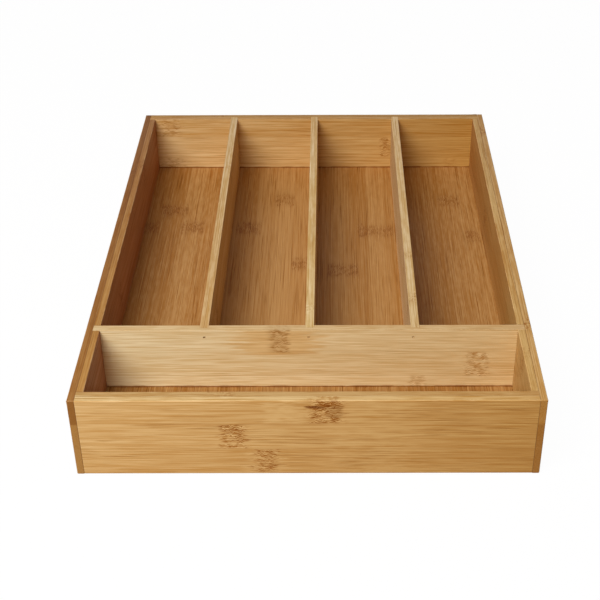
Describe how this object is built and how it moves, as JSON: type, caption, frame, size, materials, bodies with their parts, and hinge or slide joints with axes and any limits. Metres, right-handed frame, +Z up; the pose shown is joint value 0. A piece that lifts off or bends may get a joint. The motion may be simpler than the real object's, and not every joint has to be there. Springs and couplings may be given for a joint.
{
  "type": "cutlery tray",
  "caption": "Shallow open bamboo tray that sits in a drawer and sorts cutlery into long compartments and one across the front.",
  "frame": {"origin": "centre of the footprint, on the surface that the tray rests on", "axes": "+Z up, +Y from the front wall to the back wall along the long compartments, +X to the right"},
  "size_m": [0.255, 0.35, 0.051],
  "materials": {
    "bamboo_side_outer": "satin lacquered bamboo, reddish caramel",
    "bamboo_side_inner": "satin lacquered bamboo, honey",
    "bamboo_end_outer": "satin lacquered bamboo, light honey with knuckles",
    "bamboo_end_inner": "satin lacquered bamboo, honey with knuckles",
    "bamboo_divider": "satin lacquered bamboo, pale honey",
    "bamboo_base": "satin lacquered bamboo, caramel with knuckles",
    "brad_steel": "plain steel wire"
  },
  "bodies": {
    "root": {"left_side_outer_ply": "bamboo_side_outer", "left_side_inner_ply": "bamboo_side_inner", "right_side_outer_ply": "bamboo_side_outer", "right_side_inner_ply": "bamboo_side_inner", "front_wall_outer_ply": "bamboo_end_outer", "front_wall_inner_ply": "bamboo_end_inner", "back_wall_outer_ply": "bamboo_end_outer", "back_wall_inner_ply": "bamboo_end_inner", "cross_divider": "bamboo_divider", "divider_left": "bamboo_divider", "divider_centre": "bamboo_divider", "divider_right": "bamboo_divider", "base_panel": "bamboo_base", "brads_divider_fronts": "brad_steel", "brads_divider_rears": "brad_steel", "brads_cross_divider_ends": "brad_steel", "brads_front_corners": "brad_steel", "brads_back_corners": "brad_steel"}
  },
  "joints": []
}
